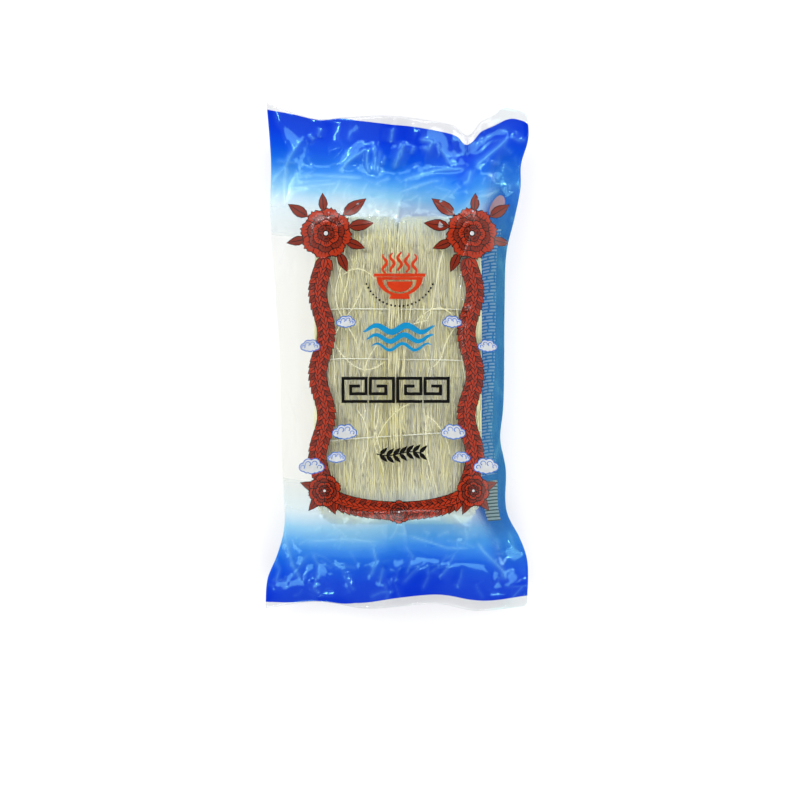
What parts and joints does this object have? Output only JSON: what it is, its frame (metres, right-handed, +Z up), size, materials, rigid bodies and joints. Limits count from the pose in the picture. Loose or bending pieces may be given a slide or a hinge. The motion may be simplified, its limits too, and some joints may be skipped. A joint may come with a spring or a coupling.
{
  "type": "pack of dried glass noodles",
  "caption": "Clear film pillow bag sealed round a block of dried glass noodles, lying on its back with the printed front up.",
  "frame": {"origin": "on the table, under the middle of the bag's box", "axes": "+X across the bag to the viewer's right, +Y along it from foot to head, +Z up out of the printed front"},
  "size_m": [0.203, 0.3912, 0.06],
  "materials": {
    "film_and_noodles": "clear glossy film over pale noodles, with blue print at both ends"
  },
  "bodies": {
    "root": {"noodle_bag": "film_and_noodles"}
  },
  "joints": []
}
